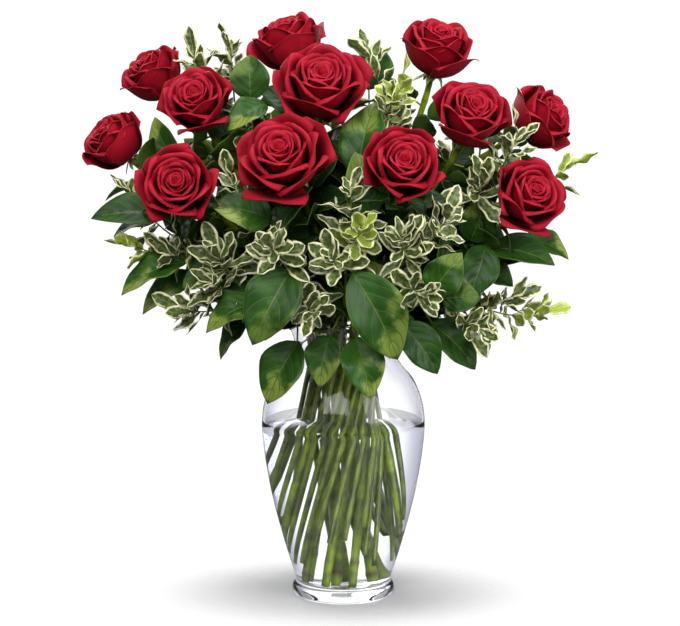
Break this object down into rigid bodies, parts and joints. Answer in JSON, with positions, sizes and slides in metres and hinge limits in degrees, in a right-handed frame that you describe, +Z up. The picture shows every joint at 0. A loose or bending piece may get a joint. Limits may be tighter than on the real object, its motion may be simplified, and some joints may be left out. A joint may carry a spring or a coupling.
{
  "type": "roses in a vase",
  "caption": "Bouquet of red roses with broad salal leaves and cream-edged pittosporum sprays, standing in a tall clear glass vase of water.",
  "frame": {"origin": "centre of the underside of the vase's foot, on the surface that it stands on", "axes": "+Z up along the vase's axis; the front of the bouquet faces -Y; +X is to the viewer's right"},
  "size_m": [0.4588, 0.2819, 0.5264],
  "materials": {
    "glass": "clear, smooth",
    "water": "clear, still",
    "petal": "velvety, matte",
    "rose_stem": "smooth, waxy",
    "salal": "leathery, glossy",
    "pittosporum": "grey-green with cream margins"
  },
  "bodies": {
    "root": {"vase": "glass", "water": "water", "rose_bloom_far_left": "petal", "rose_bloom_upper_left": "petal", "rose_bloom_left_middle": "petal", "rose_bloom_lower_left": "petal", "rose_bloom_top_left": "petal", "rose_bloom_centre_top": "petal", "rose_bloom_centre_low": "petal", "rose_bloom_top_right": "petal", "rose_bloom_right_middle": "petal", "rose_bloom_centre_right": "petal", "rose_bloom_far_right": "petal", "rose_bloom_lower_right": "petal", "rose_stem_far_left": "rose_stem", "rose_stem_upper_left": "rose_stem", "rose_stem_left_middle": "rose_stem", "rose_stem_lower_left": "rose_stem", "rose_stem_top_left": "rose_stem", "rose_stem_centre_top": "rose_stem", "rose_stem_centre_low": "rose_stem", "rose_stem_top_right": "rose_stem", "rose_stem_right_middle": "rose_stem", "rose_stem_centre_right": "rose_stem", "rose_stem_far_right": "rose_stem", "rose_stem_lower_right": "rose_stem", "salal_low_left": "salal", "salal_left": "salal", "salal_top_left": "salal", "salal_top": "salal", "salal_low_centre": "salal", "salal_low_right": "salal", "salal_right": "salal", "salal_back_left": "salal", "salal_back_right": "salal", "pittosporum_low_left": "pittosporum", "pittosporum_left": "pittosporum", "pittosporum_centre_left": "pittosporum", "pittosporum_centre": "pittosporum", "pittosporum_centre_right": "pittosporum", "pittosporum_right": "pittosporum", "pittosporum_low_right": "pittosporum", "pittosporum_top_right": "pittosporum", "pittosporum_top_left": "pittosporum", "pittosporum_back_left": "pittosporum", "pittosporum_back_right": "pittosporum"}
  },
  "joints": []
}
